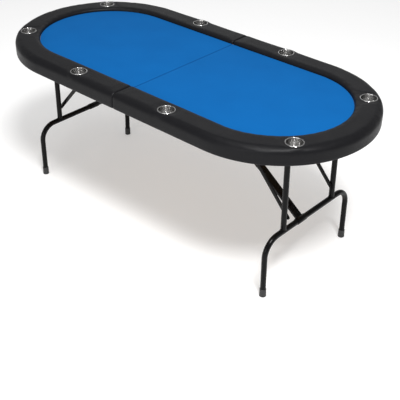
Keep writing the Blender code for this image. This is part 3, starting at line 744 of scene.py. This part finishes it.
def make_legs():
    quarter = -pi / 2
    upper_end = BAR_D - UPPER_EMBED
    upper = tube((-UPPER_Y, 0, upper_end), (0, 0, -1),
                 [("go", upper_end - UPPER_BEND), ("turn", UPPER_BEND, quarter),
                  ("go", 2 * (UPPER_Y - UPPER_BEND)), ("turn", UPPER_BEND, quarter),
                  ("go", upper_end - UPPER_BEND)], TUBE)
    on_both(shift(upper, LEG), "upper_leg_bow", BLACK, "leg_frame", 50,
            ("upper_leg_bow",), "_tube")
    lower_end = FOOT_D - CAP_SOLE
    drop = lower_end - BAR_D - LOWER_BEND
    lower = tube((-LOWER_Y, 0, lower_end), (0, 0, -1),
                 [("go", drop), ("turn", LOWER_BEND, quarter),
                  ("go", 2 * (LOWER_Y - LOWER_BEND)), ("turn", LOWER_BEND, quarter),
                  ("go", drop)], TUBE)
    on_both(shift(lower, LEG), "lower_leg_bow", BLACK, "leg_frame", 50,
            ("lower_leg_bow",), "_tube")
    on_both(shift(joined(weld_bead(-UPPER_Y), weld_bead(UPPER_Y)), LEG), "crossbar_welds",
            BLACK, "leg_frame", 60)

    # moulded foot caps: flared lip on the floor, grip rings, thin collar
    cap = [(0, 0), (0.0118, 0), (0.0140, 0.0006), (0.0153, 0.0018), (0.0156, 0.0036),
           (0.0150, 0.0064), (0.0147, 0.0088), (0.0150, 0.0100), (0.0150, 0.0150),
           (0.0147, 0.0158), (0.0147, 0.0176), (0.0149, 0.0184), (0.0149, 0.0234),
           (0.0146, 0.0242), (0.0146, 0.0260), (0.0148, 0.0268), (0.0146, 0.0376),
           (0.0141, 0.0396), (0.0134, 0.0400), (0.0128, 0.0396), (0.0128, 0.0045),
           (0, 0.0045)]
    for row, y in (("near", -LOWER_Y), ("far", LOWER_Y)):
        bm = turned(cap, 40)
        foot = Vector((PIVOT_X, 0, PIVOT_Z)) + DOWN * FOOT_D + Vector((0, y, 0))
        shift(bm, Matrix.Translation(foot) @ Matrix.Rotation(-LEAN, 4, "Y"))
        for v in bm.verts:
            v.co.z = max(v.co.z, 0.0)
        on_both(bm, f"{row}_foot_cap", PLASTIC, "leg_frame", 50,
                (f"{row}_foot_cap",), "_moulded")


# ---------------------------------------------------------------- fixings
def rivet(width=0.0046, height=0.0021, shank=0.0008):
    """A domed rivet head on a length of shank."""
    dome = [(0, height), (0.35, height * 0.96), (0.70, height * 0.72), (0.93, height * 0.32),
            (1.0, 0.0)]
    return turned([(r * width, z) for r, z in dome]
                  + [(0.0024, 0.0), (0.0024, -shank), (0, -shank)], 24)


def pan_head(width=0.0038, height=0.0018):
    """A screw head, seat down, with a crossed recess pressed into its dome."""
    bm = turned([(0, height * 0.55), (width * 0.16, height * 0.62), (width * 0.46, height * 0.98),
                 (width * 0.66, height * 0.92), (width * 0.90, height * 0.60),
                 (width, height * 0.15), (width, -0.0004), (0, -0.0004)], 24)
    for v in bm.verts:            # four lobes stand up between the arms of the cross
        r = hypot(v.co.x, v.co.y)
        if 1e-6 < r < width * 0.5 and v.co.z > height * 0.5:
            lobe = (v.co.x * v.co.y / (r * r)) ** 2 * 4
            v.co.z += height * 0.36 * lobe * (1 if r < width * 0.2 else 0.1)
    return bm


def aimed(place, way):
    """Stands a head on a surface at a place, pointing a way."""
    return Matrix.Translation(place) @ Vector(way).to_track_quat("Z", "Y").to_matrix().to_4x4()


def heads(spots, maker=pan_head, **size):
    return joined(*[shift(maker(**size), aimed(place, way)) for place, way in spots])


def middle_of(node):
    low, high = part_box(node)
    return (low[0] + high[0]) / 2, (low[1] + high[1]) / 2


SHEET, BOLT_PLATE, SUNK = 0.0020, 0.0018, 0.0003   # sheet thicknesses; head let in
SIDE_PIVOT_Z = 0.343              # where a side stay meets its upper tube


def make_screws():
    down, board = (0, 0, -1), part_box("right_board")[0][2] - SUNK
    seat = board - SHEET
    bracket_x, bracket_y = middle_of("right_main_stay_bracket")
    strip_x, _ = middle_of("right_side_stay_strip")
    screws = []
    for y in (-0.085, 0.085):             # leg brackets
        screws += [((PIVOT_X + k * 0.0235, y, seat), down) for k in (-1, 1)]
    for y in (-0.190, 0.190):             # hinge leaves
        screws += [((x, y + dy, seat), down) for x, dy in
                   ((0.0300, -0.024), (0.0300, 0.024), (0.0475, -0.012), (0.0475, 0.012))]
    screws += [((bracket_x + k * 0.014, bracket_y + dy, seat), down) for k in (-1, 1)
               for dy in (-0.009, 0.009)]
    screws += [((strip_x, y, seat - 0.0002), down) for y in (-0.118, 0.020, 0.118)]
    on_both(heads(screws), "board_screws", BOLT_STEEL, "top", 45)

    guide = [(x, k * 0.0115) for x in (-0.084, -0.052, -0.021) for k in (-1, 1)]
    keeper = [(0.020, k * 0.0115) for k in (-1, 1)]
    for side, spots in (("left", guide), ("right", keeper)):
        bm = heads([((x, y, board - BOLT_PLATE), down) for x, y in spots],
                   width=0.0030, height=0.0015)
        piece(bm, f"{side}_bolt_screws", BOLT_STEEL, f"{side}_top", sharp=45)
        bm.free()


def make_main_stay_rivets():
    """Pivot heads at the bracket, knuckle heads, and two rivets by the crossbar."""
    low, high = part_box("right_main_stay_upper")
    outer = (high[1] - low[1]) / 2
    bracket_x, y = middle_of("right_main_stay_bracket")
    bracket_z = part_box("right_main_stay_bracket")[0][2] + 0.006
    knuckle_x, knuckle_z = high[0] - 0.0045, low[2] + 0.0045
    bar = Vector((PIVOT_X, 0, PIVOT_Z)) + DOWN * BAR_D
    along = (Vector((knuckle_x, 0, knuckle_z)) - bar).normalized()
    lift = Vector((-along.z, 0, along.x))
    lift = lift if lift.z > 0 else -lift
    sides = [(k, (0, k, 0)) for k in (-1, 1)]
    on_both(heads([((bracket_x, y + k * (outer + 0.0002), bracket_z), way) for k, way in sides],
                  rivet, height=0.0018),
            "main_stay_pivot_heads", BOLT_STEEL, "top")
    on_both(heads([((knuckle_x, y + k * outer, knuckle_z), way) for k, way in sides],
                  rivet, shank=0.006),
            "main_stay_knuckle_heads", BLACK, "main_stay_upper")
    on_both(heads([(bar + along * d + lift * 0.0058 + Vector((0, y, 0)), lift)
                   for d in (0.034, 0.058)], rivet, width=0.0052),
            "main_stay_rivets", BLACK, "main_stay_lower")


def make_side_stay_rivets():
    """A pivot head in each upper tube, and one at each knuckle."""
    pivot_x = PIVOT_X + (PIVOT_Z - SIDE_PIVOT_Z) * tan(LEAN)
    low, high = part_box("right_near_side_stay_upper")
    knuckle_x, knuckle_z = high[0] - 0.009, low[2] + 0.009
    on_both(heads([((pivot_x, k * 0.1553, SIDE_PIVOT_Z), (0, -k, 0)) for k in (-1, 1)],
                  rivet, shank=0.0085),
            "side_stay_pivot_heads", BLACK, "leg_frame")
    on_both(heads([((knuckle_x, k * 0.1498, knuckle_z), (0, -k, 0)) for k in (-1, 1)],
                  rivet, shank=0.0100),
            "side_stay_knuckle_heads", BLACK, "side_stays_lower")


def make_floor():
    ground = bmesh.new()
    bmesh.ops.create_grid(ground, x_segments=1, y_segments=1, size=30.0)
    mesh = bpy.data.meshes.new("floor")
    ground.to_mesh(mesh)
    ground.free()
    mesh.materials.append(floor_finish())
    floor = bpy.data.objects.new("floor", mesh)
    bpy.context.scene.collection.objects.link(floor)


# ---------------------------------------------------------------- build everything
make_rails()
make_felts()
make_cups()
make_legs()
make_screws()
make_main_stay_rivets()
make_side_stay_rivets()

BODY_OF = {node: body for body, group in frame["record"]["behaviour"]["bodies"].items()
           for node in group}
SLOT_OF = {part["node"]: part["material_slot"] for part in frame["record"]["subparts"]}
for node, part in frame["nodes"].items():
    if any(word in node for word in ("stay", "bracket", "leaf", "link", "guide", "keeper")):
        eased(node, FINISH_OF[SLOT_OF[node]], BODY_OF[node])
    elif any(word in node for word in ("board", "apron", "slide_bolt")):
        part.data.materials.clear()
        part.data.materials.append(FINISH_OF[SLOT_OF[node]])

make_floor()
